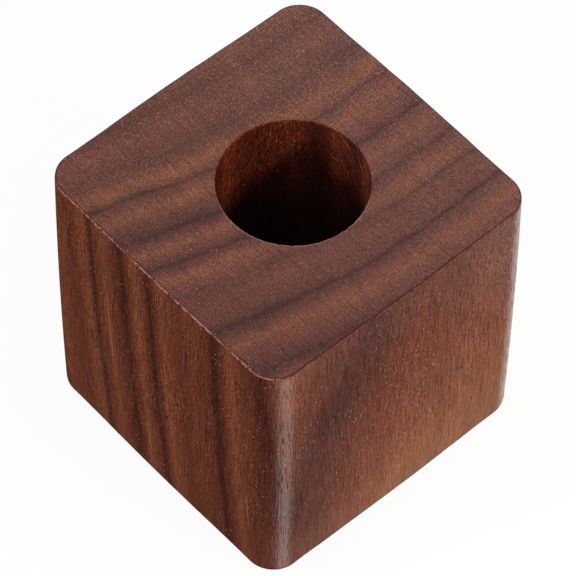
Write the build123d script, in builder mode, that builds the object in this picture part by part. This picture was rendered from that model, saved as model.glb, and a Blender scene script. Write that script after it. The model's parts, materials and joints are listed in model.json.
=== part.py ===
from build123d import *

import os

# Pen stand: a solid walnut cube with one round bore for pens, a felt disc in the bore and four rubber feet.
# Sizes are in millimetres. Z is up, the front face looks along -Y and the feet rest on Z = 0.

# Walnut block, with rounded upright corners and sanded arrises
block_width = 50.0
block_depth = 50.0
block_height = 50.0
corner_radius = 5.0
arris_radius = 0.4

# Bore for the pens, a little behind the middle of the top
bore_diameter = 22.0
bore_depth = 38.0
bore_setback = 1.0
bore_rim_radius = 0.3

# Felt disc, let into the bore floor inside a narrow ledge
felt_thickness = 1.5
felt_ledge = 1.0
felt_clearance = 0.2

# Rubber feet, let into the underside
foot_diameter = 8.0
foot_height = 2.0
foot_edge_radius = 0.6
foot_inset = 9.0
foot_seat_depth = 1.0
foot_seat_clearance = 0.2

# Levels and fits that follow from the sizes above
block_bottom = foot_height - foot_seat_depth
block_top = block_bottom + block_height
bore_floor = block_top - bore_depth
felt_seat_floor = bore_floor - felt_thickness
felt_seat_radius = bore_diameter / 2 - felt_ledge
foot_seat_radius = foot_diameter / 2 + foot_seat_clearance
foot_x = block_width / 2 - foot_inset
foot_y = block_depth / 2 - foot_inset
foot_places = {
    "foot_front_left": (-foot_x, -foot_y),
    "foot_front_right": (foot_x, -foot_y),
    "foot_back_left": (-foot_x, foot_y),
    "foot_back_right": (foot_x, foot_y),
}

os.makedirs("parts", exist_ok=True)

# Walnut block
with BuildPart() as walnut_block:
    with BuildSketch(Plane.XY.offset(block_bottom)):
        RectangleRounded(block_width, block_depth, corner_radius)
    extrude(amount=block_height)
    edges_by_height = walnut_block.edges().group_by(Axis.Z)
    fillet(edges_by_height[0] + edges_by_height[-1], radius=arris_radius)

    # Pen bore with its eased rim
    with BuildSketch(Plane.XY.offset(block_top)):
        with Locations((0, bore_setback)):
            Circle(bore_diameter / 2)
    extrude(amount=-bore_depth, mode=Mode.SUBTRACT)
    top_face = walnut_block.faces().sort_by(Axis.Z)[-1]
    fillet(top_face.inner_wires()[0].edges(), radius=bore_rim_radius)

    # Seat for the felt disc in the bore floor
    with BuildSketch(Plane.XY.offset(bore_floor)):
        with Locations((0, bore_setback)):
            Circle(felt_seat_radius)
    extrude(amount=-felt_thickness, mode=Mode.SUBTRACT)

    # Seats for the feet
    with BuildSketch(Plane.XY.offset(block_bottom)):
        with Locations(*foot_places.values()):
            Circle(foot_seat_radius)
    extrude(amount=foot_seat_depth, mode=Mode.SUBTRACT)

walnut_block.part.label = "walnut_block"
export_step(walnut_block.part, "parts/walnut_block.step")

# Felt disc, its top level with the ledge round it
with BuildPart() as bore_felt:
    with BuildSketch(Plane.XY.offset(felt_seat_floor)):
        with Locations((0, bore_setback)):
            Circle(felt_seat_radius - felt_clearance)
    extrude(amount=felt_thickness)

bore_felt.part.label = "bore_felt"
export_step(bore_felt.part, "parts/bore_felt.step")

# Rubber feet, each rounded where it meets the desk
for foot_name, foot_place in foot_places.items():
    with BuildPart() as foot:
        with BuildSketch(Plane.XY):
            with Locations(foot_place):
                Circle(foot_diameter / 2)
        extrude(amount=foot_height)
        fillet(foot.edges().group_by(Axis.Z)[0], radius=foot_edge_radius)

    foot.part.label = foot_name
    export_step(foot.part, f"parts/{foot_name}.step")
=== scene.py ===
import json
import math

import bmesh
import bpy
from mathutils import Matrix, Vector, noise


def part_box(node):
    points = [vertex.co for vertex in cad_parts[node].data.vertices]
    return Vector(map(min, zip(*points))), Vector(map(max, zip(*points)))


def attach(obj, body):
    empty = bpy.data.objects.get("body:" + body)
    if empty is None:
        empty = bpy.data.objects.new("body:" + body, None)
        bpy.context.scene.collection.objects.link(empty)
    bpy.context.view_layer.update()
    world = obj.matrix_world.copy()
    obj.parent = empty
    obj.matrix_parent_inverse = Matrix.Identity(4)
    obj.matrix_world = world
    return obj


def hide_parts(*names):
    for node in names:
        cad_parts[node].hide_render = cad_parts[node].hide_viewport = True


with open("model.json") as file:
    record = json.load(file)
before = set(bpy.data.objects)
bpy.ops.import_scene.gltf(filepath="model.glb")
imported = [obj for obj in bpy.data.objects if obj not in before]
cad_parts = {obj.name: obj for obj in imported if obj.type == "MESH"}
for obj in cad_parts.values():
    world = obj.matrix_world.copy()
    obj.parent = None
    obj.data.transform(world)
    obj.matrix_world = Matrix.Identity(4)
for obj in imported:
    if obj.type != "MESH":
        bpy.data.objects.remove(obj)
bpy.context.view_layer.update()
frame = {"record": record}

# Pen stand: a bored walnut cube, a felt disc in the bore and four rubber feet.
# Lengths are in metres. Values named _MM and lengths inside the materials are in millimetres.
MM = 0.001

# Sizes that the frame gives
BLOCK_LOW, BLOCK_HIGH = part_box("walnut_block")
BLOCK_MIDDLE = (BLOCK_LOW + BLOCK_HIGH) / 2
HALF_WIDTH = (BLOCK_HIGH.x - BLOCK_LOW.x) / 2
HALF_DEPTH = (BLOCK_HIGH.y - BLOCK_LOW.y) / 2
BLOCK_HEIGHT = BLOCK_HIGH.z - BLOCK_LOW.z
FELT_LOW, FELT_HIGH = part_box("bore_felt")
FELT_RADIUS = (FELT_HIGH.x - FELT_LOW.x) / 2
PEN_BORE = next(m for m in frame["record"]["mounts"] if m["name"] == "pen_bore")
BORE_RADIUS = PEN_BORE["dims"]["r_mm"] * MM
BORE_CENTRE = Vector((PEN_BORE["pos_m"][0], PEN_BORE["pos_m"][1], 0.0))
BORE_FLOOR = FELT_HIGH.z
FOOT_NODES = ("foot_front_left", "foot_front_right", "foot_back_left", "foot_back_right")

# The same sizes for the materials and the bake sheet
HALF_WIDTH_MM = HALF_WIDTH / MM
HALF_DEPTH_MM = HALF_DEPTH / MM
LOW_MM = BLOCK_LOW.z / MM
HIGH_MM = BLOCK_HIGH.z / MM
BORE_RADIUS_MM = BORE_RADIUS / MM
BORE_X_MM = BORE_CENTRE.x / MM
BORE_Y_MM = BORE_CENTRE.y / MM

# Shaping of the block
CORNER_RADIUS = 5.0 * MM
ARRIS_RADIUS = 0.42 * MM
ARRIS_UNEVEN = 0.14 * MM
ARRIS_LUMP = 4.0 * MM
RIM_RADIUS = 0.25 * MM
RIM_UNEVEN = 0.16 * MM
RIM_LUMP = 0.7 * MM
SIDE_CROWN = 0.19 * MM
HEIGHT_CROWN = 0.215 * MM
SEAT_CLEARANCE = 0.2 * MM
FELT_SEAT_RADIUS = FELT_RADIUS + SEAT_CLEARANCE

# Layers of the noise that makes the two arrises uneven, each in its own way
LOW_ARRIS_LAYER = 7.0
TOP_ARRIS_LAYER = 3.0

# Shaping of the felt and the feet
FELT_EDGE = 0.25 * MM
FELT_HOLLOW = 0.06 * MM
FELT_LUMP = 0.5 * MM
FOOT_EDGE = 0.6 * MM
DIMPLE_RADIUS = 1.5 * MM
DIMPLE_DEPTH = 0.25 * MM

# Fineness of the meshes
QUARTER_TURN = math.radians(90)
SIDE_STEPS = 60
CORNER_STEPS = 20
HEIGHT_STEPS = 48
ARRIS_STEPS = 6
TOP_STEPS = 18
BORE_STEPS = 34
AXIS_STEPS = 20
LATHE_STEPS = 96
FOOT_STEPS = 8
FELT_UNDER_STEPS = 24
FELT_EDGE_STEPS = 4
FELT_TOP_STEPS = 30
WELD_DISTANCE = 0.001 * MM
ON_AXIS = 0.0001 * MM

# Bake sheets, on which faces lie flattened: the block's at their real size, with gaps between them
SHEET_MM = 149.0
SHEET_GAP_MM = 0.5
FIRST_SEAT_ROW_MM = 3.0
SEAT_ROW_MM = 2.0
LATHE_SHEET_MM = 10.0

# The block's finishes, in the order of its materials
OILED, BORED, SAWN = range(3)

# Photograph's camera, from a fit to the block's outline
PHOTO_PIXELS = 576
CAMERA_AZIMUTH = 47.76
CAMERA_ELEVATION = 54.85
CAMERA_ROLL = 0.86
CAMERA_DISTANCE = 609.75 * MM
CAMERA_SLIDE = 0.229 * MM
CAMERA_LIFT = -0.028 * MM
CAMERA_NEAR = 0.01
CAMERA_FAR = 10.0
FOCAL_PIXELS = 4195.9
SENSOR_WIDTH_MM = 36.0

# Walnut colours, linear, with the colours of painted shade, painted highlights and painted sheen
WOOD_MID = (0.120, 0.0270, 0.0125, 1)
WOOD_LIGHT = (0.210, 0.057, 0.0220, 1)
WOOD_DARK = (0.048, 0.0112, 0.0066, 1)
# Colour of the open pores, also used for the painted shade along the lowest edge
WOOD_PORE = (0.028, 0.0080, 0.0058, 1)
# Pale colour for dust in the end grain, for the painted glints of the pale specks and for the painted
# highlight on the bore's rim
WOOD_PALE = (0.46, 0.28, 0.20, 1)
# Rubbed colour for the pale fibres, and for the pale arrises, which are partly wear and partly painted
# highlight
WOOD_RUBBED_AND_HIGHLIGHT = (0.47, 0.18, 0.11, 1)
# Colour of the painted sheen and haze on the right face
PAINTED_SHEEN_COLOUR = (0.30, 0.19, 0.17, 1)
# Colour of the drill scores, painted bright as highlight where light falls on them
LIT_BORE_SCORE = (0.350, 0.070, 0.025, 1)
# Colour of the painted shade deep in the bore
BORE_SHADE_COLOUR = (0.020, 0.0080, 0.0070, 1)
# Colour of the painted shade on each arris next to the top
ARRIS_SHADE_COLOUR = (0.060, 0.0080, 0.0045, 1)

# Tints that the walnut colours are multiplied by
END_GRAIN_FRONT = (0.96, 1.01, 1.48, 1)
END_GRAIN_BACK = (1.13, 1.55, 2.85, 1)
END_GRAIN_LIGHT = (1.06, 1.23, 1.48, 1)
GOLD_TINT = (1.00, 1.20, 0.90, 1)
# The bore's tint: partly bare wood, partly painted shade and red bounce light
BORE_TINT_AND_SHADE = (0.58, 0.36, 0.36, 1)

# Other colours, linear
RUBBER_BLACK = (0.017, 0.017, 0.018, 1)
RUBBER_DUST = (0.060, 0.057, 0.053, 1)
FELT_DARK = (0.040, 0.036, 0.034, 1)
FELT_PALE = (0.170, 0.158, 0.148, 1)
FELT_PRESSED = (0.054, 0.049, 0.047, 1)
FLOOR_WHITE = (0.95, 0.95, 0.95, 1)
CARD_WARM = (1.0, 0.88, 0.83, 1)
WHITE = (1, 1, 1, 1)
LAMP_WHITE = (1, 1, 1)
LAMP_WARM = (1.0, 0.965, 0.90)

# Growth rings, lengths in mm: the dark line's place across the top at the back, its swing to the left by the
# front edge, the depth from which it swings, its darkness at the front and at the back, how far it fades in,
# how far it takes to clear, the strength of the light band that follows and how far that runs.
RING_VALUES = ("Place", "Swing", "Knee", "Dark", "Back dark", "Fade", "Rise", "Light", "Glow")
RINGS = (
    (-34.0, 6.0, 13.0, 0.70, 0.40, 2.0, 1.8, 0.60, 3.0),
    (-27.0, 6.0, 13.0, 0.60, 0.40, 2.0, 1.8, 0.60, 3.0),
    (-20.0, 6.2, 13.0, 0.35, 0.30, 2.5, 1.8, 0.40, 3.0),
    (-12.6, 7.1, 13.0, 0.22, 0.30, 1.5, 2.6, 1.00, 2.6),
    (-6.1, 8.5, 13.0, 0.95, 0.60, 1.0, 1.9, 1.00, 1.7),
    (1.4, 9.0, 13.0, 1.00, 0.80, 2.2, 2.0, 0.80, 1.4),
    (7.7, 9.4, 13.0, 0.95, 0.60, 1.0, 1.8, 0.85, 1.8),
    (12.5, 8.0, 13.0, 0.20, 0.55, 1.0, 1.8, 0.25, 1.5),
    (17.7, 6.0, 3.0, 1.10, 0.90, 0.9, 2.6, 0.85, 1.5),
    (29.8, 8.3, 40.0, 0.85, 0.85, 1.4, 1.7, 0.90, 3.0),
)
RING_TILT = 0.073
RING_BEND = 1.4
BACK_LINE_WIDTH = 0.4

# A ring's course past its dark line, as shares of the length that it takes to clear
FAST_CLEARING = 0.5
SLOW_CLEARING = 1.5
LIGHT_START = 0.3
LIGHT_FULL = 1.7
GLOW_START = 1.5

# Waves in the rings, in mm: their size across, along the depth and up the height, and how far they push
# a ring aside
RING_WAVES = (((11, 11, 45), 1.3), ((4.0, 5.0, 30), 1.3), ((0.9, 1.3, 26), 0.28))

# Pale torn fibres in the front face, in mm: place across the top, height of the middle and half length
PALE_FIBRE_VALUES = ("Place", "Middle", "Half length")
PALE_FIBRES = ((-11.8, 28.5, 9.0), (-4.9, 10.0, 5.0), (17.0, 15.0, 5.0))
PALE_FIBRE_CORE_MM = 0.05
PALE_FIBRE_EDGE_MM = 0.15
PALE_FIBRE_FULL_DEPTH_MM = 1.0
PALE_FIBRE_DEPTH_MM = 5.0

# Size of the wood's other markings across, along the depth and up the height
RING_PATCH_MM = (2.5, 3.5, 18)
DRIFT_MM = (6, 6, 30)
GOLD_PATCH_MM = (14, 14, 40)
PORE_MM = (0.30, 0.30, 3.0)
PORE_PATCH_MM = (2.5, 2.5, 12.0)
FIBRE_MM = (0.16, 0.16, 5.0)
STREAK_MM = (0.30, 0.30, 3.0)
SPECKLE_MM = (0.14, 0.14, 0.42)
RAY_MM = (4.5, 0.12, 0.9)
SPECK_MM = (0.5, 0.5, 1.2)
SPECK_PATCH_MM = (6, 6, 14)
RAGGED_EDGE_MM = (0.6, 0.6, 0.6)
TORN_FIBRE_MM = (0.22, 0.18, 2.4)
DRILL_SCORE_MM = (0.42, 7.0, 1.0)

# How the colour changes over the block: greyer end grain to the back, and more gold to the back and the foot
FADING_REACH_MM = 22.0
GOLD_MIDDLE_MM = 26.0
GOLD_TO_BACK = 0.4
GOLD_TO_FOOT = -0.6
GOLD_PATCHINESS_MM = 14.0
GOLD_SPAN_MM = (-2.0, 20.0)

# Spans of a noise's values: the middle of them, and most of them
NOISE_MIDDLE = (0.3, 0.7)
NOISE_MOST = (0.2, 0.8)

# Pores and pale specks, which are painted glints of the finish: their shape as shares of their cells, and the
# span of a cell's random value over which they grow from none to full. Specks come in patches.
PORE_CORE = 0.18
PORE_REACH = (0.30, 0.52)
PORE_SPAN = (0.2, 0.9)
SPECK_CORE = 0.08
SPECK_REACH = 0.22
SPECK_SPAN = (0.10, 0.80)
SPECK_PATCH_SPAN = (0.35, 0.65)
SPECK_PATCH_LEVELS = (0.35, 1.0)

# Strength of the walnut's marks. A pair runs from pale to dark wood, from the sides to the end grain, from
# the foot upwards or from one end of a noise's span to the other.
RING_PATCHINESS = (0.85, 1.15)
DRIFT_SPAN = (0.25, 0.75)
DRIFT_LEVELS = (0.86, 1.14)
FIBRE_STRENGTH = 1.8
SPECKLE_STRENGTH = (1.15, 0.85)
RAY_SPAN = (0.50, 0.72)
RAY_LEVELS = (0.06, -0.40)
PORE_STRENGTH = (0.14, 0.35)
PORE_END_GRAIN = (1.0, 0.8)
OPENNESS_LEVELS = (0.5, 1.0)
OPENNESS_START_MM = 2.0
OPENNESS_END_MM = 20.0

# How far up or down a surface faces where the end grain, the parts of an arris and the bore's rim begin and
# end, and how far back it faces where the front ends
END_GRAIN_START = (0.75, 0.98)
ARRIS_FOOT_START = (0.08, 0.25)
ARRIS_FOOT_END = (0.55, 0.75)
ARRIS_HEAD_START = (0.40, 0.60)
ARRIS_HEAD_END = (0.95, 0.998)
RIM_END = (0.96, 0.999)
FRONT_END = (-0.6, -0.3)

# Marks that the walnut group hands on to the finishes
FIGURE_MARKS = ("Dark", "Light", "Drift", "Fading", "Pale fibres")
GRAIN_MARKS = ("Pores", "Fibres", "Streaks", "Speckle", "Glints", "End grain")

# Pale arrises, partly wear and partly painted highlight, which are most at the front
ARRIS_WEAR_AND_HIGHLIGHT_SPAN = (0.38, 0.6)
ARRIS_WEAR_AND_HIGHLIGHT_TO_FRONT = (0.25, 1.0)

# Painted highlight on the bore's rim: how far out from the bore the rim ends, and the side of the rim that
# gets it, as a compass direction in degrees
RIM_FULL_MM = 1.0
RIM_EDGE_MM = 2.0
RIM_HIGHLIGHT_AZIMUTH = 50
RIM_HIGHLIGHT_SIDE = (0.0, 0.9)
RIM_HIGHLIGHT_SPAN = (0.35, 0.6)
RIM_HIGHLIGHT_LEVELS = (0.2, 1.0)

# Bore's wall: the stretch where the drill's scores are painted bright where light falls on them, as turns
# from the right side towards the back, the torn fibres and the depths between which painted shade darkens it
SCORED_START = math.radians(66)
SCORED_END = math.radians(106)
SCORED_FEATHER = math.radians(10)
SCORE_SPAN = (0.50, 0.68)
TORN_FIBRE_LEAN = 0.45
TORN_FIBRE_LEVELS = (0.15, 1.85)
TORN_DARK_TO_LIGHT = (0.75, 1.30)
PAINTED_SHADE_DEPTH_MM = (6.0, 24.0)
RING_PAINTED_SHADE_DEPTH_MM = (1.5, 8.0)

# Painted sheen on the right face, with its painted haze along the top and the foot
RIGHT_FACE_EDGE_MM = 3.0
RIGHT_FACE_FULL_MM = 1.0
SHEEN_CORE_MM = 2.0
SHEEN_REACH_MM = 22.0
SHEEN_STRENGTH = 0.45
SHEEN_STRETCH = 0.7
SHEEN_SPECKLE_SPAN = (0.35, 0.75)
SHEEN_SPECKLE_LEVELS = (0.2, 1.0)
HAZE_STRENGTH = 0.06
TOP_HAZE_MM = 12.0
FOOT_HAZE_FULL_MM = 2.0
FOOT_HAZE_MM = 11.0

# Dust in the top's end grain
DUST_LEFT_MM = -22.0
DUST_RIGHT_MM = 20.0
DUST_LEFT_TO_RIGHT = (0.58, 0.10)
DUST_BACK_SPAN = (0.3, 1.0)
DUST_AT_BACK = 0.38
DUST_SPAN = (0.63, 0.86)

# Painted shade: a dark edge at the foot of the sides
LOWEST_EDGE_FULL_MM = 0.3
LOWEST_EDGE_MM = 0.9

# Strength of the marks that belong to one finish, with the painted glints, highlight and shade among them
PALE_FIBRE_STRENGTH = 0.45
ARRIS_HEAD_SHADE_STRENGTH = 0.9
GLINT_STRENGTH = 0.85
LOWEST_EDGE_STRENGTH = 0.85
BORE_GLINT_STRENGTH = 0.8
LIT_SCORE_STRENGTH = 0.8
PAINTED_SHADE_STRENGTH = 0.65
RING_PAINTED_SHADE_STRENGTH = 0.3
PAINTED_SHADE_PATCHINESS = 0.4
RUBBER_DUST_SPAN = (0.45, 0.75)
RUBBER_DUST_STRENGTH = 0.5
FELT_PALE_SPAN = (0.45, 0.75)
FELT_PRESSED_STRENGTH = 0.4

# Roughness of each finish, what the pores add to the oiled one, the oil's shine and the felt's sheen
OILED_ROUGHNESS = (0.22, 0.35)
OILED_PORE_ROUGHNESS = 0.7
BORED_ROUGHNESS = (0.45, 0.60)
SAWN_ROUGHNESS = (0.55, 0.70)
RUBBER_ROUGHNESS = (0.55, 0.80)
FELT_ROUGHNESS = (0.85, 1.0)
OILED_SHINE = 0.33
FELT_SHEEN = 0.4

# Depth of each finish's relief, and how far streaks and fibres stand out where a pore goes down by 1
OILED_RELIEF = 0.018 * MM
BORED_RELIEF = 0.05 * MM
SAWN_RELIEF = 0.03 * MM
RUBBER_RELIEF = 0.02 * MM
FELT_RELIEF = 0.08 * MM
OILED_STREAK_RISE = 3.2
OILED_FIBRE_RISE = 0.7
BORED_FIBRE_RISE = 0.8
SAWN_FIBRE_RISE = 0.5

# Size of the marks in rubber and felt
RUBBER_GRAIN_MM = (0.08, 0.08, 0.08)
RUBBER_DUST_MM = (1.6, 1.6, 1.6)
FELT_LAY_MM = (0.9, 0.9, 0.9)
FELT_HAIR_MM = (0.05, 0.4, 0.2)
FELT_CROSS_HAIR_MM = (0.4, 0.05, 0.2)

# Floor and room. The levels are brightnesses, where 1 is white.
FLOOR_HALF_WIDTH = 1.5
FLOOR_HEIGHT = -0.02 * MM
FLOOR_GLOW_SHARE = 0.93
FLOOR_GLOW_SEEN = 1.0
FLOOR_GLOW_UNSEEN = 0.9
OVERHEAD_LEVEL = 0.6
LEVEL_ALL_ROUND = 0.10
BLACK_CARD_DEPTH = 0.92
GREY_CARD_DEPTH = 0.2
RIGHT_CARD_LEVEL = 2.6
BACK_CARD_LEVEL = 1.15
STAGE_LEVEL = 0.02
HORIZON_SOFTNESS = 0.01


class Graph:
    """Adds nodes to one node tree and joins them."""

    # Places of the colour sockets on a Mix node, whose other sockets have the same names
    MIX_COLOUR_A = 6
    MIX_COLOUR_B = 7
    MIX_COLOUR_RESULT = 2

    def __init__(self, tree):
        self.tree = tree

    def node(self, kind, inputs=None, **settings):
        made = self.tree.nodes.new(kind)
        for name, value in settings.items():
            setattr(made, name, value)
        for key, value in (inputs or {}).items():
            self.put(made.inputs[key], value)
        return made

    def put(self, socket, value):
        """Joins a socket to another one, or sets its value."""
        if isinstance(value, bpy.types.NodeSocket):
            self.tree.links.new(value, socket)
        else:
            socket.default_value = value

    def math(self, operation, a, b=0.0):
        return self.node("ShaderNodeMath", {0: a, 1: b}, operation=operation).outputs[0]

    def add(self, a, b):
        return self.math("ADD", a, b)

    def subtract(self, a, b):
        return self.math("SUBTRACT", a, b)

    def multiply(self, a, b):
        return self.math("MULTIPLY", a, b)

    def divide(self, a, b):
        return self.math("DIVIDE", a, b)

    def larger(self, a, b):
        return self.math("MAXIMUM", a, b)

    def smaller(self, a, b):
        return self.math("MINIMUM", a, b)

    def power(self, a, b):
        return self.math("POWER", a, b)

    def length(self, a, b):
        """Length of the slope of a right triangle with these two sides."""
        return self.math("SQRT", self.add(self.multiply(a, a), self.multiply(b, b)))

    def spread(self, value, low, high, from_value=0.0, to_value=1.0, curve="SMOOTHSTEP"):
        """Runs from one value to the other as the input goes from low to high."""
        ends = {"Value": value, "From Min": low, "From Max": high, "To Min": from_value, "To Max": to_value}
        return self.node("ShaderNodeMapRange", ends, interpolation_type=curve).outputs[0]

    def fall(self, value, low, high):
        """Runs from 1 to 0 as the input goes from low to high."""
        return self.spread(value, low, high, 1.0, 0.0)

    def between(self, share, a, b):
        """Runs straight from a to b as the share goes from 0 to 1."""
        return self.spread(share, 0.0, 1.0, a, b, "LINEAR")

    def mix(self, factor, a, b, blend="MIX"):
        ends = {"Factor": factor, self.MIX_COLOUR_A: a, self.MIX_COLOUR_B: b}
        made = self.node("ShaderNodeMix", ends, data_type="RGBA", blend_type=blend)
        return made.outputs[self.MIX_COLOUR_RESULT]

    def tint(self, colour, by):
        return self.mix(1.0, colour, by, "MULTIPLY")

    def shade(self, colour, level):
        """The colour times a level that varies over the surface."""
        return self.tint(colour, self.vector(level, level, level))

    def vector(self, x, y, z=0.0):
        return self.node("ShaderNodeCombineXYZ", {0: x, 1: y, 2: z}).outputs[0]

    def split(self, vector):
        return self.node("ShaderNodeSeparateXYZ", {0: vector}).outputs

    def object_mm(self):
        """Object coordinates in millimetres."""
        place = self.node("ShaderNodeTexCoord").outputs["Object"]
        return self.node("ShaderNodeVectorMath", {0: place, "Scale": 1 / MM}, operation="SCALE").outputs[0]

    def facing(self):
        """The surface's outward direction, as its three parts."""
        return self.split(self.node("ShaderNodeNewGeometry").outputs["Normal"])

    def cells(self, vector, size_mm):
        """The vector counted in cells of that size."""
        return self.node("ShaderNodeVectorMath", {0: vector, 1: size_mm}, operation="DIVIDE").outputs[0]

    def noise(self, vector, size_mm, detail=2.0, roughness=0.5):
        cells = self.cells(vector, size_mm)
        values = {"Vector": cells, "Scale": 1.0, "Detail": detail, "Roughness": roughness}
        return self.node("ShaderNodeTexNoise", values).outputs["Fac"]

    def voronoi(self, vector, size_mm):
        values = {"Vector": self.cells(vector, size_mm), "Scale": 1.0}
        return self.node("ShaderNodeTexVoronoi", values).outputs

    def group(self, tree, inputs=None):
        return self.node("ShaderNodeGroup", inputs, node_tree=tree).outputs


def new_group(name, inputs=(), outputs=(), colours=()):
    """An empty shader node group with number inputs, number outputs and colour outputs. Gives the group, its
    graph and the sockets of its two end nodes."""
    tree = bpy.data.node_groups.new(name, "ShaderNodeTree")
    for entry in inputs:
        tree.interface.new_socket(entry, in_out="INPUT", socket_type="NodeSocketFloat")
    for entry in outputs:
        tree.interface.new_socket(entry, in_out="OUTPUT", socket_type="NodeSocketFloat")
    for entry in colours:
        tree.interface.new_socket(entry, in_out="OUTPUT", socket_type="NodeSocketColor")
    graph = Graph(tree)
    return tree, graph, graph.node("NodeGroupInput").outputs, graph.node("NodeGroupOutput").inputs


def growth_ring_group():
    """One growth ring: it darkens to a thin line, clears fast and then slowly, and leaves a light band that
    fades. In front of its knee it swings to the left, and its line is thinner towards the back."""
    tree, g, given, out = new_group("growth_ring", ("Across", "Along") + RING_VALUES, ("Dark", "Light"))
    reach = g.divide(g.subtract(given["Knee"], given["Along"]), g.add(given["Knee"], HALF_DEPTH_MM))
    reach = g.smaller(g.larger(reach, 0.0), 1.0)
    swing = g.multiply(given["Swing"], g.power(reach, RING_BEND))
    past = g.add(g.subtract(given["Across"], given["Place"]), swing)
    width = g.between(reach, BACK_LINE_WIDTH, 1.0)
    strength = g.between(reach, given["Back dark"], given["Dark"])
    before = g.math("EXPONENT", g.divide(g.smaller(past, 0.0), g.multiply(given["Fade"], width)))
    rise = given["Rise"]
    clearing = g.multiply(rise, width)
    fast_half = g.spread(past, 0.0, g.multiply(clearing, FAST_CLEARING), 0.5, 0.0)
    slow_half = g.spread(past, 0.0, g.multiply(clearing, SLOW_CLEARING), 0.5, 0.0)
    g.put(out["Dark"], g.multiply(g.multiply(before, g.add(fast_half, slow_half)), strength))
    cleared = g.larger(g.subtract(past, g.multiply(rise, GLOW_START)), 0.0)
    after = g.math("EXPONENT", g.multiply(g.divide(cleared, given["Glow"]), -1.0))
    brightening = g.spread(past, g.multiply(rise, LIGHT_START), g.multiply(rise, LIGHT_FULL))
    g.put(out["Light"], g.multiply(g.multiply(after, brightening), given["Light"]))
    return tree


def pale_fibre_group():
    """One thin pale fibre that runs up the front face."""
    tree, g, given, out = new_group("pale_fibre", ("Across", "Height") + PALE_FIBRE_VALUES, ("Mask",))
    aside = g.math("ABSOLUTE", g.subtract(given["Across"], given["Place"]))
    along = g.math("ABSOLUTE", g.subtract(given["Height"], given["Middle"]))
    line = g.fall(aside, PALE_FIBRE_CORE_MM, PALE_FIBRE_EDGE_MM)
    full_length = g.multiply(given["Half length"], 0.5)
    g.put(out["Mask"], g.multiply(line, g.fall(along, full_length, given["Half length"])))
    return tree


def walnut_figure_group():
    """The growth rings as they run through the solid block, how its colour drifts, turns golden and fades
    to the back, and a few pale fibres in its front."""
    ring, pale_fibre = growth_ring_group(), pale_fibre_group()
    tree, g, _, out = new_group("walnut_figure", outputs=FIGURE_MARKS + ("Gold",))
    place = g.object_mm()
    x, y, z = g.split(place)
    straight = g.subtract(x, g.multiply(g.subtract(HIGH_MM, z), RING_TILT))
    waves = 0.0
    for size_mm, push_mm in RING_WAVES:
        waves = g.add(g.multiply(g.subtract(g.noise(place, size_mm), 0.5), push_mm), waves)
    across = g.add(straight, waves)
    dark, light, pale = 0.0, 0.0, 0.0
    for entry in RINGS:
        found = g.group(ring, {"Across": across, "Along": y, **dict(zip(RING_VALUES, entry))})
        dark = g.larger(found["Dark"], dark)
        light = g.larger(found["Light"], light)
    for entry in PALE_FIBRES:
        values = dict(zip(PALE_FIBRE_VALUES, entry))
        found = g.group(pale_fibre, {"Across": straight, "Height": z, **values})
        pale = g.larger(found["Mask"], pale)
    patchy = g.spread(g.noise(place, RING_PATCH_MM), *NOISE_MIDDLE, *RING_PATCHINESS, "LINEAR")
    g.put(out["Dark"], g.smaller(g.multiply(dark, patchy), 1.0))
    g.put(out["Light"], light)
    g.put(out["Drift"], g.noise(place, DRIFT_MM, 3.0))
    g.put(out["Fading"], g.spread(y, -FADING_REACH_MM, FADING_REACH_MM, curve="LINEAR"))
    to_back = g.multiply(y, GOLD_TO_BACK)
    to_foot = g.multiply(g.subtract(z, GOLD_MIDDLE_MM), GOLD_TO_FOOT)
    patch = g.multiply(g.subtract(g.noise(place, GOLD_PATCH_MM), 0.5), GOLD_PATCHINESS_MM)
    g.put(out["Gold"], g.spread(g.add(g.add(to_back, to_foot), patch), *GOLD_SPAN_MM))
    front = g.spread(y, PALE_FIBRE_DEPTH_MM - HALF_DEPTH_MM, PALE_FIBRE_FULL_DEPTH_MM - HALF_DEPTH_MM)
    g.put(out["Pale fibres"], g.multiply(pale, front))
    return tree


def walnut_grain_group():
    """The fine grain: open pores, fibres and streaks along the height, speckle, rays across the rings and
    pale specks that are painted glints. Also how open the grain is, which is less near the foot, and a mask
    for end grain."""
    tree, g, _, out = new_group("walnut_grain", outputs=GRAIN_MARKS + ("Rays", "Openness"))
    place = g.object_mm()
    pore = g.voronoi(place, PORE_MM)
    depth = g.spread(g.split(pore["Color"])[0], *PORE_SPAN)
    reach = g.spread(g.noise(place, PORE_PATCH_MM), *NOISE_MIDDLE, *PORE_REACH)
    g.put(out["Pores"], g.multiply(depth, g.fall(pore["Distance"], PORE_CORE, reach)))
    g.put(out["Fibres"], g.noise(place, FIBRE_MM, 1.0))
    g.put(out["Streaks"], g.noise(place, STREAK_MM, 1.0))
    g.put(out["Speckle"], g.noise(place, SPECKLE_MM, 0.0))
    g.put(out["Rays"], g.noise(place, RAY_MM, 1.0))
    # Pale specks: painted glints of the finish
    speck = g.voronoi(place, SPECK_MM)
    shine = g.spread(g.split(speck["Color"])[0], *SPECK_SPAN)
    patch = g.spread(g.noise(place, SPECK_PATCH_MM), *SPECK_PATCH_SPAN, *SPECK_PATCH_LEVELS)
    shine = g.multiply(shine, patch)
    g.put(out["Glints"], g.multiply(shine, g.fall(speck["Distance"], SPECK_CORE, SPECK_REACH)))
    g.put(out["End grain"], g.spread(g.math("ABSOLUTE", g.facing()[2]), *END_GRAIN_START))
    opening = (LOW_MM + OPENNESS_START_MM, LOW_MM + OPENNESS_END_MM)
    g.put(out["Openness"], g.spread(g.split(place)[2], *opening, *OPENNESS_LEVELS))
    return tree


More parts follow.
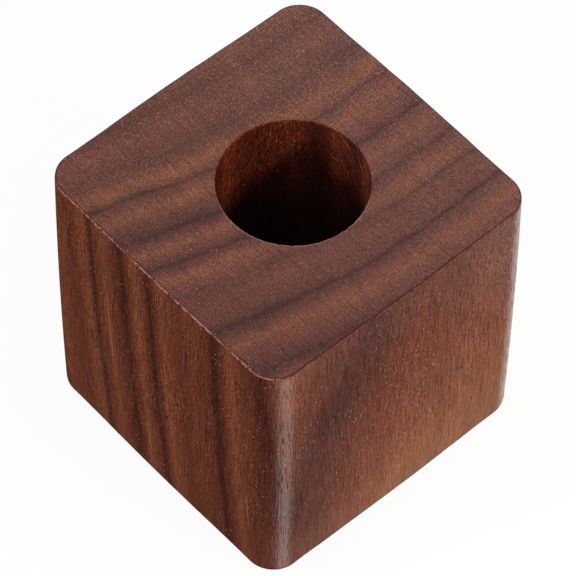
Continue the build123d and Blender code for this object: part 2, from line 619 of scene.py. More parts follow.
def walnut_group():
    """Walnut as it is all through the block: ring colours with gold, drift, fibres, speckle, rays, pores and
    the greyer end grain worked in, and the marks that the finishes use."""
    tree, g, _, out = new_group("walnut", outputs=FIGURE_MARKS + GRAIN_MARKS, colours=("Colour",))
    figure, grain = g.group(walnut_figure_group()), g.group(walnut_grain_group())
    for name in FIGURE_MARKS:
        g.put(out[name], figure[name])
    for name in GRAIN_MARKS:
        g.put(out[name], grain[name])
    colour = g.mix(figure["Light"], WOOD_MID, WOOD_LIGHT)
    colour = g.mix(figure["Gold"], colour, g.tint(colour, GOLD_TINT))
    end_grain_tint = g.mix(figure["Fading"], END_GRAIN_FRONT, END_GRAIN_BACK)
    end_grain_tint = g.mix(figure["Light"], end_grain_tint, END_GRAIN_LIGHT)
    colour = g.mix(grain["End grain"], colour, g.tint(colour, end_grain_tint))
    colour = g.mix(figure["Dark"], colour, WOOD_DARK)
    drift = g.spread(figure["Drift"], *DRIFT_SPAN, *DRIFT_LEVELS, "LINEAR")
    fibre_strength = g.multiply(grain["Openness"], FIBRE_STRENGTH)
    fibre = g.add(g.multiply(g.subtract(grain["Fibres"], 0.5), fibre_strength), 1.0)
    speckle_strength = g.multiply(g.between(grain["End grain"], *SPECKLE_STRENGTH), grain["Openness"])
    speckle = g.subtract(g.multiply(grain["Speckle"], 2.0), 1.0)
    speckle = g.add(g.multiply(speckle, speckle_strength), 1.0)
    ray = g.multiply(grain["End grain"], g.spread(grain["Rays"], *RAY_SPAN, *RAY_LEVELS))
    colour = g.shade(colour, g.multiply(g.multiply(drift, fibre), g.add(speckle, ray)))
    pore_strength = g.between(figure["Dark"], *PORE_STRENGTH)
    pore_strength = g.multiply(pore_strength, g.between(grain["End grain"], *PORE_END_GRAIN))
    pore_strength = g.multiply(pore_strength, grain["Openness"])
    g.put(out["Colour"], g.mix(g.multiply(grain["Pores"], pore_strength), colour, WOOD_PORE))
    return tree


def edge_wear_and_painted_light_group():
    """Masks for the edges: the half of each arris next to the side, pale in places and most at the front,
    partly wear and partly painted highlight; the half next to the top, for painted shade; and the side of the
    bore's rim that gets a painted highlight."""
    tree, g, _, out = new_group("edge_wear_and_painted_light", outputs=("Arris foot", "Arris head shade", "Rim highlight"))
    place = g.object_mm()
    x, y, _ = g.split(place)
    facing = g.facing()
    upright = g.math("ABSOLUTE", facing[2])
    to_front = g.fall(facing[1], *FRONT_END)
    ragged = g.noise(place, RAGGED_EDGE_MM, 2.0, 0.6)
    aside, along = g.subtract(x, BORE_X_MM), g.subtract(y, BORE_Y_MM)
    from_axis = g.length(aside, along)
    outer = g.spread(from_axis, BORE_RADIUS_MM + RIM_FULL_MM, BORE_RADIUS_MM + RIM_EDGE_MM)
    # Half of each arris next to the side: pale, partly wear and partly painted highlight, most at the front
    foot = g.multiply(g.spread(upright, *ARRIS_FOOT_START), g.fall(upright, *ARRIS_FOOT_END))
    worn_and_lit = g.multiply(g.spread(ragged, *ARRIS_WEAR_AND_HIGHLIGHT_SPAN), g.between(to_front, *ARRIS_WEAR_AND_HIGHLIGHT_TO_FRONT))
    g.put(out["Arris foot"], g.multiply(g.multiply(foot, outer), worn_and_lit))
    # Half of each arris next to the top: a mask for painted shade
    head = g.multiply(g.spread(upright, *ARRIS_HEAD_START), g.fall(upright, *ARRIS_HEAD_END))
    g.put(out["Arris head shade"], g.multiply(head, outer))
    # Side of the bore's rim that gets a painted highlight
    highlight_side = direction(RIM_HIGHLIGHT_AZIMUTH, 0)
    towards = g.divide(g.add(g.multiply(aside, highlight_side.x), g.multiply(along, highlight_side.y)), from_axis)
    rim = g.multiply(g.fall(upright, *RIM_END), g.subtract(1.0, outer))
    rim_highlight = g.spread(ragged, *RIM_HIGHLIGHT_SPAN, *RIM_HIGHLIGHT_LEVELS)
    rim_highlight = g.multiply(g.spread(towards, *RIM_HIGHLIGHT_SIDE), rim_highlight)
    g.put(out["Rim highlight"], g.multiply(rim, rim_highlight))
    return tree


def new_material(name):
    material = bpy.data.materials.new(name)
    material.use_nodes = True
    shader = material.node_tree.nodes["Principled BSDF"]
    return material, Graph(material.node_tree), shader


def coat(g, shader, colour, roughness, height, depth):
    """Gives a finish its colour, its roughness and a fine relief from a height over the surface."""
    bump = g.node("ShaderNodeBump", {"Height": height, "Strength": 1.0, "Distance": depth})
    parts = {"Base Color": colour, "Roughness": roughness, "Normal": bump.outputs[0]}
    for name, value in parts.items():
        g.put(shader.inputs[name], value)


def painted_sheen(g, wood, x, y, z):
    """Mask for the painted sheen on the right face: a speckled patch of painted reflection by its back top
    corner, and a thin painted haze along its top and its foot."""
    from_back, from_top = g.subtract(HALF_DEPTH_MM, y), g.subtract(HIGH_MM, z)
    from_corner = g.length(from_back, g.multiply(from_top, SHEEN_STRETCH))
    speckled = g.spread(wood["Speckle"], *SHEEN_SPECKLE_SPAN, *SHEEN_SPECKLE_LEVELS)
    patch = g.multiply(g.spread(from_corner, SHEEN_CORE_MM, SHEEN_REACH_MM, SHEEN_STRENGTH, 0.0), speckled)
    top_haze = g.spread(from_top, 0.0, TOP_HAZE_MM, HAZE_STRENGTH, 0.0)
    foot_haze = g.spread(z, LOW_MM + FOOT_HAZE_FULL_MM, LOW_MM + FOOT_HAZE_MM, HAZE_STRENGTH, 0.0)
    right_face = g.spread(x, HALF_WIDTH_MM - RIGHT_FACE_EDGE_MM, HALF_WIDTH_MM - RIGHT_FACE_FULL_MM)
    painted_sheen_mask = g.multiply(right_face, g.larger(g.larger(patch, top_haze), foot_haze))
    return g.multiply(painted_sheen_mask, g.subtract(1.0, wood["End grain"]))


def end_grain_dust(g, wood, x):
    """Mask for the pale dust in the end grain of the top: most on the left and at the back, and none in the
    dark lines."""
    on_left = g.spread(x, DUST_LEFT_MM, DUST_RIGHT_MM, *DUST_LEFT_TO_RIGHT, "LINEAR")
    dustiness = g.add(on_left, g.spread(wood["Fading"], *DUST_BACK_SPAN, 0.0, DUST_AT_BACK))
    dust = g.multiply(g.spread(wood["Speckle"], *DUST_SPAN, 0.0, dustiness), wood["End grain"])
    return g.multiply(dust, g.subtract(1.0, wood["Dark"]))


def oiled_walnut(walnut):
    """The outside: sanded, stained and oiled to a satin sheen. Its arrises are rubbed pale next to the sides,
    partly wear and partly painted highlight, and are dark with painted shade next to the top. Painted shade
    darkens the lowest edge, the right face has a painted sheen, the pale specks are painted glints and the
    bore's rim has a painted highlight."""
    material, g, shader = new_material("oiled_walnut")
    wood, edge_marks = g.group(walnut), g.group(edge_wear_and_painted_light_group())
    x, y, z = g.split(g.object_mm())
    colour = g.mix(g.multiply(wood["Pale fibres"], PALE_FIBRE_STRENGTH), wood["Colour"], WOOD_RUBBED_AND_HIGHLIGHT)
    # Painted shade on each arris next to the top
    colour = g.mix(g.multiply(edge_marks["Arris head shade"], ARRIS_HEAD_SHADE_STRENGTH), colour, ARRIS_SHADE_COLOUR)
    # Pale arris next to the sides: partly wear, partly painted highlight
    colour = g.mix(edge_marks["Arris foot"], colour, WOOD_RUBBED_AND_HIGHLIGHT)
    # Painted highlight on the bore's rim
    colour = g.mix(edge_marks["Rim highlight"], colour, WOOD_PALE)
    # Painted sheen and haze on the right face
    colour = g.mix(painted_sheen(g, wood, x, y, z), colour, PAINTED_SHEEN_COLOUR)
    # Pale dust in the end grain, and pale specks that are painted glints
    pale = g.larger(g.multiply(wood["Glints"], GLINT_STRENGTH), end_grain_dust(g, wood, x))
    colour = g.mix(pale, colour, WOOD_PALE)
    # Painted shade along the lowest edge of the sides
    edge_heights = (LOW_MM + LOWEST_EDGE_FULL_MM, LOW_MM + LOWEST_EDGE_MM)
    lowest_edge_shade = g.spread(z, *edge_heights, LOWEST_EDGE_STRENGTH, 0.0)
    colour = g.mix(lowest_edge_shade, colour, WOOD_PORE)
    roughness = g.spread(wood["Fibres"], *NOISE_MIDDLE, *OILED_ROUGHNESS)
    roughness = g.add(roughness, g.multiply(wood["Pores"], OILED_PORE_ROUGHNESS))
    streaks = g.multiply(wood["Streaks"], OILED_STREAK_RISE)
    fibres = g.multiply(wood["Fibres"], OILED_FIBRE_RISE)
    height = g.subtract(g.add(streaks, fibres), wood["Pores"])
    coat(g, shader, colour, roughness, height, OILED_RELIEF)
    shader.inputs["Specular IOR Level"].default_value = OILED_SHINE
    return material


def bored_walnut(walnut):
    """The bore wall: red-brown torn fibres near the rim under a tint that is partly painted shade, scored
    aslant by the drill at the back with the scores painted bright where light falls, and darkened with
    painted shade further down, most in the dark lines."""
    material, g, shader = new_material("bored_walnut")
    wood = g.group(walnut)
    x, y, z = g.split(g.object_mm())
    depth = g.subtract(HIGH_MM, z)
    leaning = g.vector(x, g.subtract(y, g.multiply(z, TORN_FIBRE_LEAN)), z)
    torn = g.spread(g.noise(leaning, TORN_FIBRE_MM, 1.0), *NOISE_MIDDLE, *TORN_FIBRE_LEVELS, "LINEAR")
    torn = g.multiply(torn, g.between(wood["Light"], *TORN_DARK_TO_LIGHT))
    # Tint that is partly bare wood and partly painted shade with red bounce light
    colour = g.tint(g.shade(wood["Colour"], torn), BORE_TINT_AND_SHADE)
    turn = g.math("ARCTAN2", g.subtract(y, BORE_Y_MM), g.subtract(x, BORE_X_MM))
    along_wall = g.multiply(turn, BORE_RADIUS_MM)
    aslant = g.vector(g.add(along_wall, depth), g.subtract(depth, along_wall))
    score = g.spread(g.noise(aslant, DRILL_SCORE_MM, 2.0), *SCORE_SPAN)
    # Drill scores, painted bright on the stretch of wall where light falls on them
    lit_scored_side = g.multiply(
        g.spread(turn, SCORED_START - SCORED_FEATHER, SCORED_START),
        g.fall(turn, SCORED_END, SCORED_END + SCORED_FEATHER))
    colour = g.mix(g.multiply(g.multiply(score, lit_scored_side), LIT_SCORE_STRENGTH), colour, LIT_BORE_SCORE)
    # Pale specks on the bore wall: painted glints
    colour = g.mix(g.multiply(wood["Glints"], BORE_GLINT_STRENGTH), colour, WOOD_PALE)
    # Painted shade deeper in the bore, patchy and most in the dark lines
    patchy = g.multiply(g.subtract(wood["Drift"], 0.5), PAINTED_SHADE_PATCHINESS)
    painted_shade = g.add(g.spread(depth, *PAINTED_SHADE_DEPTH_MM, 0.0, PAINTED_SHADE_STRENGTH), patchy)
    ring_painted_shade = g.spread(depth, *RING_PAINTED_SHADE_DEPTH_MM, 0.0, RING_PAINTED_SHADE_STRENGTH)
    painted_shade = g.add(painted_shade, g.multiply(wood["Dark"], ring_painted_shade))
    colour = g.mix(g.smaller(g.larger(painted_shade, 0.0), 1.0), colour, BORE_SHADE_COLOUR)
    roughness = g.spread(wood["Fibres"], *NOISE_MOST, *BORED_ROUGHNESS)
    height = g.subtract(g.multiply(wood["Fibres"], BORED_FIBRE_RISE), wood["Pores"])
    coat(g, shader, colour, roughness, height, BORED_RELIEF)
    return material


def sawn_walnut(walnut):
    """The underside: sanded flat and left without oil."""
    material, g, shader = new_material("sawn_walnut")
    wood = g.group(walnut)
    roughness = g.spread(wood["Fibres"], *NOISE_MOST, *SAWN_ROUGHNESS)
    height = g.subtract(g.multiply(wood["Fibres"], SAWN_FIBRE_RISE), wood["Pores"])
    coat(g, shader, wood["Colour"], roughness, height, SAWN_RELIEF)
    return material


def foot_rubber():
    """Matte black moulded rubber with a fine grain and patches of dust."""
    material, g, shader = new_material("foot_rubber")
    place = g.object_mm()
    grain = g.noise(place, RUBBER_GRAIN_MM, 2.0)
    dust = g.noise(place, RUBBER_DUST_MM, 4.0)
    dusty = g.spread(dust, *RUBBER_DUST_SPAN, 0.0, RUBBER_DUST_STRENGTH)
    colour = g.mix(dusty, RUBBER_BLACK, RUBBER_DUST)
    roughness = g.spread(dust, *NOISE_MIDDLE, *RUBBER_ROUGHNESS)
    coat(g, shader, colour, roughness, grain, RUBBER_RELIEF)
    return material


def wool_felt():
    """Charcoal wool felt, with paler and darker fibres pressed every way."""
    material, g, shader = new_material("wool_felt")
    place = g.object_mm()
    lay = g.noise(place, FELT_LAY_MM, 3.0)
    fibre = g.larger(g.noise(place, FELT_HAIR_MM, 2.0), g.noise(place, FELT_CROSS_HAIR_MM, 2.0))
    colour = g.mix(g.spread(fibre, *FELT_PALE_SPAN), FELT_DARK, FELT_PALE)
    pressed = g.spread(lay, *NOISE_MIDDLE, 0.0, FELT_PRESSED_STRENGTH)
    colour = g.mix(pressed, colour, FELT_PRESSED)
    roughness = g.spread(fibre, *NOISE_MIDDLE, *FELT_ROUGHNESS)
    coat(g, shader, colour, roughness, g.add(fibre, lay), FELT_RELIEF)
    shader.inputs["Sheen Weight"].default_value = FELT_SHEEN
    return material


class Skin:
    """Collects the points, faces, finishes and flat bake layout of one piece. A flat function gives the place
    of a point on the bake sheet, in mm, from the point, its face's place in the band and that face's end."""

    def __init__(self):
        self.points = []
        self.run = []
        self.faces = []
        self.finishes = []
        self.layout = []

    def ring(self, points, run=0.0):
        """Adds a ring of points. run is how far the ring lies along the strip that it is laid out in."""
        start = len(self.points)
        self.points += [Vector(p) for p in points]
        self.run += [run] * len(points)
        return list(range(start, len(self.points)))

    def face(self, corners, finish, flat):
        self.faces.append(corners)
        self.finishes.append(finish)
        self.layout.append(flat)

    def band(self, lower, upper, finish, flat):
        """Quads between two closed rings."""
        count = len(lower)
        for i in range(count):
            j = (i + 1) % count
            corners = (lower[i], lower[j], upper[j], upper[i])
            ends = (0, 1, 1, 0)
            self.face(corners, finish, [flat(v, i, end) for v, end in zip(corners, ends)])

    def disc(self, rim, finish, flat, up):
        """A fan that closes a ring, facing up or down."""
        middle = sum((self.points[v] for v in rim), Vector()) / len(rim)
        centre = self.ring([middle])[0]
        count = len(rim)
        for i in range(count):
            j = (i + 1) % count
            corners = (rim[i], rim[j], centre) if up else (rim[j], rim[i], centre)
            self.face(corners, finish, [flat(v, i, 0) for v in corners])

    def build(self, name, materials, sheet_mm):
        """Makes the mesh object. sheet_mm is the side of the square bake sheet."""
        mesh = bpy.data.meshes.new(name)
        mesh.from_pydata(self.points, [], self.faces)
        for material in materials:
            mesh.materials.append(material)
        mesh.polygons.foreach_set("material_index", self.finishes)
        mesh.polygons.foreach_set("use_smooth", [True] * len(self.faces))
        layer = mesh.uv_layers.new(name="OFBake")
        spots = [spot for flat in self.layout for spot in flat]
        for loop, spot in zip(layer.data, spots):
            loop.uv = (spot[0] / sheet_mm, spot[1] / sheet_mm)
        mesh.validate()
        piece = bpy.data.objects.new(name, mesh)
        bpy.context.scene.collection.objects.link(piece)
        return piece


def block_outline():
    """Points round the block, from the middle of its front left corner to the right, each with its outward
    direction and its share of the side crown, and the distance along the outline to each point."""
    straight_x = HALF_WIDTH - CORNER_RADIUS
    straight_y = HALF_DEPTH - CORNER_RADIUS
    signs = ((-1, -1), (1, -1), (1, 1), (-1, 1))
    corners = [Vector((straight_x * a, straight_y * b)) for a, b in signs]
    points = []

    def outward_at(turn):
        return Vector((math.cos(turn), math.sin(turn)))

    def half_corner(middle, first_turn):
        for k in range(CORNER_STEPS // 2):
            outward = outward_at(first_turn + QUARTER_TURN * k / CORNER_STEPS)
            points.append((middle + outward * CORNER_RADIUS, outward, 1.0))

    for side, start in enumerate(corners):
        end = corners[(side + 1) % len(corners)]
        corner_turn = math.radians(225 + 90 * side)
        side_turn = corner_turn + QUARTER_TURN / 2
        half_corner(start, corner_turn)
        outward = outward_at(side_turn)
        for k in range(SIDE_STEPS):
            share = k / SIDE_STEPS
            crown = math.sin(math.pi * (share - 0.5)) ** 2
            points.append((start.lerp(end, share) + outward * CORNER_RADIUS, outward, crown))
        half_corner(end, side_turn)
    along = [0.0]
    for i, entry in enumerate(points):
        following = points[(i + 1) % len(points)]
        along.append(along[-1] + (following[0] - entry[0]).length)
    return points, along


class BlockSkin(Skin):
    """The walnut block's skin, made from its foot up its sides, over its top and down its bore, and last
    across its underside."""

    def __init__(self):
        super().__init__()
        self.outline, self.along = block_outline()
        self.half_way = len(self.outline) // 2
        gap = SHEET_GAP_MM
        wall_end = 2 * math.pi * BORE_RADIUS_MM + 4 * gap
        strip_end = self.along[self.half_way] / MM + 3 * gap
        self.strip_height = BLOCK_HEIGHT / MM + 4 * gap
        self.top_middle = Vector((strip_end + HALF_WIDTH_MM, HALF_DEPTH_MM + gap))
        self.under_middle = self.top_middle + Vector((0, 2 * HALF_DEPTH_MM + 2 * gap))
        self.bore_corner = Vector((gap, 2 * self.strip_height + 2 * gap))
        self.floor_middle = self.bore_corner + Vector((wall_end + BORE_RADIUS_MM, BORE_RADIUS_MM + 2 * gap))
        self.seat_corner = self.bore_corner + Vector((wall_end, 2 * BORE_RADIUS_MM + 8 * gap))

    def flat_side(self, v, i, end):
        """The sides lie in two strips, one above the other."""
        strip = 0 if i < self.half_way else 1
        across = (self.along[i + end] - self.along[strip * self.half_way]) / MM
        return (SHEET_GAP_MM + across, SHEET_GAP_MM + strip * self.strip_height + self.run[v] / MM)

    def flat_top(self, v, i, end):
        return (self.top_middle.x + self.points[v].x / MM, self.top_middle.y + self.points[v].y / MM)

    def flat_under(self, v, i, end):
        return (self.under_middle.x + self.points[v].x / MM, self.under_middle.y - self.points[v].y / MM)

    def flat_bore(self, v, i, end):
        across = self.turns[i + end] * BORE_RADIUS_MM
        return (self.bore_corner.x + across, self.bore_corner.y + self.run[v] / MM)

    def flat_floor(self, v, i, end):
        away = self.points[v] - BORE_CENTRE
        return (self.floor_middle.x + away.x / MM, self.floor_middle.y + away.y / MM)

    def flat_seat(self, v, i, end):
        across = self.turns[i + end] * FELT_SEAT_RADIUS / MM
        return (self.seat_corner.x + across, self.seat_corner.y + (BORE_FLOOR - self.points[v].z) / MM)

    def outline_ring(self, share, height, run, layer=0.0, tuck=0.0, lift=0.0):
        """A ring round the block at a share of its height, drawn in by the crown. tuck and lift move it in
        and up further, in arris radii. That radius is a little uneven, as hand sanding leaves it."""
        ring = []
        for point, outward, crown in self.outline:
            lump = point / ARRIS_LUMP
            radius = ARRIS_RADIUS + ARRIS_UNEVEN * noise.noise(Vector((lump.x, lump.y, layer)))
            inset = SIDE_CROWN * crown + HEIGHT_CROWN * (2 * share - 1) ** 2 + radius * tuck
            place = point - outward * inset
            ring.append((place.x, place.y, height + radius * lift))
        return self.ring(ring, run)

    def sides(self):
        """The bottom arris, the crowned sides and the top arris. Gives the rims of the underside and top."""
        side_start = ARRIS_RADIUS * QUARTER_TURN
        turns = [QUARTER_TURN * k / ARRIS_STEPS for k in range(ARRIS_STEPS + 1)]
        rings = []
        for turn in turns:
            tuck, lift = 1 - math.sin(turn), 1 - math.cos(turn)
            run = ARRIS_RADIUS * turn
            rings.append(self.outline_ring(0, BLOCK_LOW.z, run, LOW_ARRIS_LAYER, tuck, lift))
        for k in range(1, HEIGHT_STEPS):
            share = k / HEIGHT_STEPS
            height = BLOCK_LOW.z + BLOCK_HEIGHT * share
            rings.append(self.outline_ring(share, height, side_start + BLOCK_HEIGHT * share))
        for turn in turns:
            tuck, lift = 1 - math.cos(turn), math.sin(turn) - 1
            run = side_start + BLOCK_HEIGHT + ARRIS_RADIUS * turn
            rings.append(self.outline_ring(1, BLOCK_HIGH.z, run, TOP_ARRIS_LAYER, tuck, lift))
        for lower, upper in zip(rings, rings[1:]):
            self.band(lower, upper, OILED, self.flat_side)
        return rings[0], rings[-1]

    def aim_rays(self, edge):
        """Sets the rays from the bore's axis to the points of the top's rim, on which the bore's points lie,
        the turn to each of them, and the uneven radius of the bore's rim there."""
        self.rays = []
        for v in edge:
            away = self.points[v] - BORE_CENTRE
            self.rays.append(Vector((away.x, away.y, 0)).normalized())
        self.turns = [0.0]
        for i, ray in enumerate(self.rays):
            self.turns.append(self.turns[-1] + ray.angle(self.rays[(i + 1) % len(self.rays)]))
        self.rims = []
        for ray in self.rays:
            lump = noise.noise((BORE_CENTRE + ray * BORE_RADIUS) / RIM_LUMP)
            self.rims.append(RIM_RADIUS + RIM_UNEVEN * lump)

    def bore_ring(self, radius, height, run=0.0):
        return self.ring([BORE_CENTRE + ray * radius + Vector((0, 0, height)) for ray in self.rays], run)

    def top(self, edge):
        """The top face, from its arris in to the rim of the bore. Gives that rim."""
        self.aim_rays(edge)
        outer = edge
        for k in range(1, TOP_STEPS + 1):
            ring = []
            for v, ray, rim in zip(edge, self.rays, self.rims):
                mouth = BORE_CENTRE + ray * (BORE_RADIUS + rim) + Vector((0, 0, BLOCK_HIGH.z))
                ring.append(self.points[v].lerp(mouth, k / TOP_STEPS))
            inner = self.ring(ring)
            self.band(outer, inner, OILED, self.flat_top)
            outer = inner
        return outer

    def bore(self, upper):
        """The bore's eased rim and its wall, down to the ledge round the felt. Gives the foot of the wall."""
        for k in range(1, ARRIS_STEPS + 1):
            turn = QUARTER_TURN * k / ARRIS_STEPS
            ring = []
            for ray, rim in zip(self.rays, self.rims):
                radius = BORE_RADIUS + rim * (1 - math.sin(turn))
                height = BLOCK_HIGH.z - rim * (1 - math.cos(turn))
                ring.append(BORE_CENTRE + ray * radius + Vector((0, 0, height)))
            lower = self.ring(ring, RIM_RADIUS * turn)
            self.band(upper, lower, OILED, self.flat_bore)
            upper = lower
        wall_top = BLOCK_HIGH.z - RIM_RADIUS
        for k in range(1, BORE_STEPS + 1):
            height = wall_top + (BORE_FLOOR - wall_top) * k / BORE_STEPS
            lower = self.bore_ring(BORE_RADIUS, height, RIM_RADIUS * QUARTER_TURN + wall_top - height)
            self.band(upper, lower, BORED, self.flat_bore)
            upper = lower
        return upper

    def felt_seat(self, wall_foot):
        """The ledge at the foot of the bore, and the wall and floor of the felt's seat."""
        ledge = self.bore_ring(FELT_SEAT_RADIUS, BORE_FLOOR)
        self.band(wall_foot, ledge, BORED, self.flat_floor)
        seat = self.bore_ring(FELT_SEAT_RADIUS, FELT_LOW.z)
        self.band(ledge, seat, BORED, self.flat_seat)
        self.disc(seat, BORED, self.flat_floor, True)

    def underside_quarter(self, under_rim, node, row_mm):
        """One quarter of the underside, with the round seat that its foot sits in."""
        low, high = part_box(node)
        middle = (low + high) / 2
        seat_radius = (high.x - low.x) / 2 + SEAT_CLEARANCE
        sign = Vector((math.copysign(1, middle.x), math.copysign(1, middle.y)))
        z = BLOCK_LOW.z

        def inside(v):
            point = self.points[v]
            return point.x * sign.x >= -ON_AXIS and point.y * sign.y >= -ON_AXIS

        def turn(v):
            away = self.points[v] - middle
            return math.atan2(away.y, away.x)

        rim = [v for v in under_rim if inside(v)]
        edge_x = max(self.points[v].x * sign.x for v in rim) * sign.x
        edge_y = max(self.points[v].y * sign.y for v in rim) * sign.y
        spokes = [Vector((edge_x * k / AXIS_STEPS, 0, z)) for k in range(AXIS_STEPS)]
        spokes += [Vector((0, edge_y * k / AXIS_STEPS, z)) for k in range(1, AXIS_STEPS)]
        border = sorted(rim + self.ring(spokes), key=turn)
        rays = [Vector((math.cos(turn(v)), math.sin(turn(v)), 0)) for v in border]
        mouth = self.ring([Vector((middle.x, middle.y, z)) + ray * seat_radius for ray in rays])
        ceiling = self.ring([Vector((middle.x, middle.y, high.z)) + ray * seat_radius for ray in rays])

        def flat_wall(v, i, end):
            across = 2 * math.pi * seat_radius * (i + end) / len(rays) / MM
            return (self.seat_corner.x + across, self.seat_corner.y + row_mm + (self.points[v].z - z) / MM)

        self.band(mouth, border, SAWN, self.flat_under)
        self.band(ceiling, mouth, SAWN, flat_wall)
        self.disc(ceiling, SAWN, self.flat_under, False)


def walnut_block(materials):
    """The bored cube as one skin: arrises, crowned sides, top, bore, felt seat and underside."""
    skin = BlockSkin()
    under_rim, top_rim = skin.sides()
    bore_rim = skin.top(top_rim)
    wall_foot = skin.bore(bore_rim)
    skin.felt_seat(wall_foot)
    for quarter, node in enumerate(FOOT_NODES):
        skin.underside_quarter(under_rim, node, FIRST_SEAT_ROW_MM + SEAT_ROW_MM * quarter)
    piece = skin.build("walnut_block_skin", materials, SHEET_MM)
    weld(piece)
    return piece


def weld(piece):
    """Joins points that lie on each other where patches meet."""
    work = bmesh.new()
    work.from_mesh(piece.data)
    bmesh.ops.remove_doubles(work, verts=work.verts, dist=WELD_DISTANCE)
    work.to_mesh(piece.data)
    work.free()


def lathe(name, profile, middle, material):
    """A turned piece. The profile runs from near its axis at the bottom, outwards and up, to near its axis
    at the top, and discs close both ends."""
    skin = Skin()
    turns = [2 * math.pi * i / LATHE_STEPS for i in range(LATHE_STEPS)]
    run, rings = 0.0, []
    for k, (radius, height) in enumerate(profile):
        if k:
            run += math.dist(profile[k - 1], profile[k])
        ring = [(middle.x + radius * math.cos(t), middle.y + radius * math.sin(t), height) for t in turns]
        rings.append(skin.ring(ring, run))

    def flat(v, i, end):
        return ((i + end) / LATHE_STEPS * LATHE_SHEET_MM, skin.run[v] / MM)

    skin.disc(rings[0], 0, flat, False)
    for lower, upper in zip(rings, rings[1:]):
        skin.band(lower, upper, 0, flat)
    skin.disc(rings[-1], 0, flat, True)
    return skin.build(name, [material], max(LATHE_SHEET_MM, run / MM))


def felt_profile():
    """Half section of the felt: a flat underside, a straight wall, an eased edge and the top."""
    inner = FELT_RADIUS - FELT_EDGE
    profile = [(FELT_RADIUS * k / FELT_UNDER_STEPS, FELT_LOW.z) for k in range(1, FELT_UNDER_STEPS + 1)]
    for k in range(FELT_EDGE_STEPS + 1):
        turn = QUARTER_TURN * k / FELT_EDGE_STEPS
        tuck, drop = FELT_EDGE * (1 - math.cos(turn)), FELT_EDGE * (1 - math.sin(turn))
        profile.append((FELT_RADIUS - tuck, FELT_HIGH.z - drop))
    profile += [(inner * k / FELT_TOP_STEPS, FELT_HIGH.z) for k in range(FELT_TOP_STEPS - 1, 0, -1)]
    return profile


def felt_disc():
    """The felt in the bore's floor, with a slightly lumpy top."""
    piece = lathe("bore_felt_disc", felt_profile(), (FELT_LOW + FELT_HIGH) / 2, wool_felt())
    for vertex in piece.data.vertices:
        if vertex.co.z > FELT_HIGH.z - FELT_EDGE:
            vertex.co.z -= FELT_HOLLOW * (1 + noise.noise(vertex.co / FELT_LUMP))
    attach(piece, "root")
    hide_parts("bore_felt")


def foot_profile(low, high):
    """Half section of a foot: a dimpled tread, a rounded edge and a straight wall up to its flat top."""
    radius = (high.x - low.x) / 2
    profile = []
    for k in range(1, FOOT_STEPS + 1):
        share = k / FOOT_STEPS
        profile.append((DIMPLE_RADIUS * k / FOOT_STEPS, low.z + DIMPLE_DEPTH * (1 - share ** 2)))
    for k in range(FOOT_STEPS + 1):
        turn = QUARTER_TURN * k / FOOT_STEPS
        edge = radius - FOOT_EDGE + FOOT_EDGE * math.sin(turn)
        profile.append((edge, low.z + FOOT_EDGE * (1 - math.cos(turn))))
    return profile + [(radius, high.z), (radius / 2, high.z)]


def feet():
    """The four rubber feet, each in its seat."""
    material = foot_rubber()
    for node in FOOT_NODES:
        low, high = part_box(node)
        piece = lathe(f"{node}_bumper", foot_profile(low, high), (low + high) / 2, material)
        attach(piece, "root")
        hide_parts(node)


def direction(azimuth, elevation):
    """Unit vector towards a compass direction in degrees: azimuth 0 is the front, 90 the right."""
    a, e = math.radians(azimuth), math.radians(elevation)
    return Vector((math.sin(a) * math.cos(e), -math.cos(a) * math.cos(e), math.sin(e)))


def light_table():
    """The floor: a white sheet that glows, so that the stand's shadow on it stays faint. From below it is
    clear, and the finish doesn't mirror it."""
    half, z = FLOOR_HALF_WIDTH, FLOOR_HEIGHT
    corners = [(-half, -half, z), (half, -half, z), (half, half, z), (-half, half, z)]
    mesh = bpy.data.meshes.new("light_table")
    mesh.from_pydata(corners, [], [(0, 1, 2, 3)])
    floor = bpy.data.objects.new("light_table", mesh)
    bpy.context.scene.collection.objects.link(floor)
    material, g, shader = new_material("white_sheet")
    g.tree.nodes.remove(shader)
    white = g.node("ShaderNodeBsdfDiffuse", {"Color": FLOOR_WHITE})
    seen = g.node("ShaderNodeLightPath").outputs["Is Camera Ray"]
    brightness = g.between(seen, FLOOR_GLOW_UNSEEN, FLOOR_GLOW_SEEN)
    glow = g.node("ShaderNodeEmission", {"Color": WHITE, "Strength": brightness})
    both = g.node("ShaderNodeMixShader", {0: FLOOR_GLOW_SHARE, 1: white.outputs[0], 2: glow.outputs[0]})
    below = g.node("ShaderNodeNewGeometry").outputs["Backfacing"]
    clear = g.node("ShaderNodeBsdfTransparent")
    sheet = g.node("ShaderNodeMixShader", {0: below, 1: both.outputs[0], 2: clear.outputs[0]})
    g.put(g.tree.nodes["Material Output"].inputs["Surface"], sheet.outputs[0])
    mesh.materials.append(material)
    floor.visible_glossy = False


def soft_box(name, azimuth, elevation, distance, size, power, shines=False, colour=LAMP_WHITE):
    """A square soft lamp that looks at the block. The finish mirrors it where shines is true."""
    data = bpy.data.lights.new(name, "AREA")
    data.shape = "SQUARE"
    data.size = size
    data.energy = power
    data.color = colour
    lamp = bpy.data.objects.new(name, data)
    away = direction(azimuth, elevation)
    lamp.location = BLOCK_MIDDLE + away * distance
    lamp.rotation_mode = "QUATERNION"
    lamp.rotation_quaternion = away.to_track_quat("Z", "Y")
    lamp.visible_camera = False
    lamp.visible_glossy = shines
    bpy.context.scene.collection.objects.link(lamp)


def lamps():
    """A large warm lamp on the right, one in front, a small one low by the right face and one that the front
    mirrors."""
    soft_box("right_light", 105, 32.5, distance=1.2, size=0.22, power=7.3, colour=LAMP_WARM)
    soft_box("left_light", -18, 30.5, distance=0.35, size=0.064, power=0.275)
    soft_box("key_light", 95, -13, distance=0.080, size=0.02, power=0.0175)
    soft_box("fill_light", -27, 21, distance=0.6, size=0.10, power=0.6, shines=True)


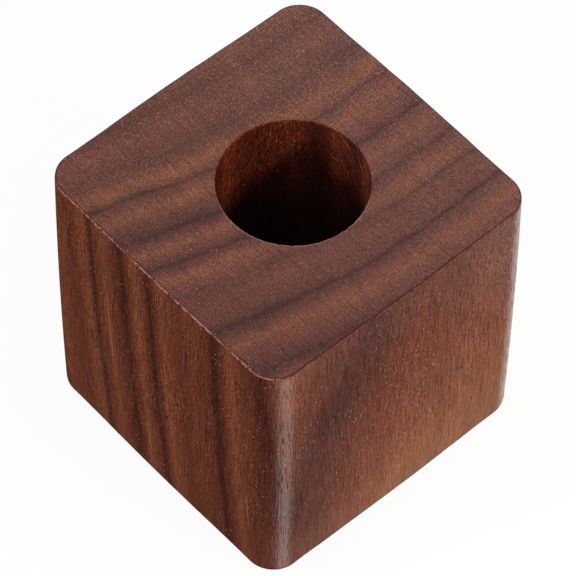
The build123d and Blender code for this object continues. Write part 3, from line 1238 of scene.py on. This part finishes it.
def studio_world():
    """A room that is white to the camera and in reflections, apart from two darker cards that only the finish
    mirrors, and dimmer as a light. Below the horizon lies a dark stage with two bright cards."""
    world = bpy.data.worlds.new("studio")
    bpy.context.scene.world = world
    world.use_nodes = True
    g = Graph(world.node_tree)
    sight = g.node("ShaderNodeTexCoord").outputs["Generated"]
    height = g.split(sight)[2]
    path = g.node("ShaderNodeLightPath").outputs

    def card(azimuth, elevation, inner, outer):
        """1 towards the middle of a card, 0 outside it, by the angle from its middle in degrees."""
        aim = {0: sight, 1: direction(azimuth, elevation)}
        along = g.node("ShaderNodeVectorMath", aim, operation="DOT_PRODUCT").outputs["Value"]
        return g.spread(along, math.cos(math.radians(outer)), math.cos(math.radians(inner)))

    def dark_card(mask, depth):
        return g.multiply(g.multiply(mask, path["Is Glossy Ray"]), depth)

    seen = g.larger(g.larger(path["Is Camera Ray"], path["Is Glossy Ray"]), path["Is Transmission Ray"])
    black_card = dark_card(card(118, 28, inner=28, outer=46), BLACK_CARD_DEPTH)
    grey_card = dark_card(card(262, 52, inner=14, outer=30), GREY_CARD_DEPTH)
    white_room = g.subtract(g.subtract(1.0, black_card), grey_card)
    room_light = g.add(g.multiply(g.larger(height, 0.0), OVERHEAD_LEVEL), LEVEL_ALL_ROUND)
    room = g.add(g.multiply(seen, white_room), g.multiply(g.subtract(1.0, seen), room_light))
    right_card = card(86, -55, inner=3, outer=19)
    back_card = card(198, -52, inner=20, outer=28)
    cards = g.add(g.multiply(right_card, RIGHT_CARD_LEVEL), g.multiply(back_card, BACK_CARD_LEVEL))
    stage = g.add(cards, STAGE_LEVEL)
    above = g.spread(height, -HORIZON_SOFTNESS, HORIZON_SOFTNESS)
    level = g.add(g.multiply(above, room), g.multiply(g.subtract(1.0, above), stage))
    background = g.tree.nodes["Background"]
    g.put(background.inputs["Strength"], level)
    g.put(background.inputs["Color"], g.mix(right_card, WHITE, CARD_WARM))
    world.cycles.sampling_method = "NONE"


def photo_camera():
    """The camera where the photograph's was."""
    back = direction(CAMERA_AZIMUTH, CAMERA_ELEVATION)
    side = direction(CAMERA_AZIMUTH + 90, 0)
    rise = back.cross(side)
    roll = math.radians(CAMERA_ROLL)
    right = side * math.cos(roll) + rise * math.sin(roll)
    up = rise * math.cos(roll) - side * math.sin(roll)
    data = bpy.data.cameras.new("photo_camera")
    data.sensor_width = SENSOR_WIDTH_MM
    data.lens = FOCAL_PIXELS / PHOTO_PIXELS * SENSOR_WIDTH_MM
    data.clip_start = CAMERA_NEAR
    data.clip_end = CAMERA_FAR
    camera = bpy.data.objects.new("photo_camera", data)
    place = BLOCK_MIDDLE + back * CAMERA_DISTANCE + right * CAMERA_SLIDE + up * CAMERA_LIFT
    camera.matrix_world = Matrix.Translation(place) @ Matrix((right, up, back)).transposed().to_4x4()
    bpy.context.scene.collection.objects.link(camera)
    bpy.context.scene.camera = camera


def main():
    bpy.context.scene.view_settings.view_transform = "Standard"
    walnut = walnut_group()
    block = walnut_block([oiled_walnut(walnut), bored_walnut(walnut), sawn_walnut(walnut)])
    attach(block, "root")
    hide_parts("walnut_block")
    felt_disc()
    feet()
    light_table()
    lamps()
    studio_world()
    photo_camera()


main()
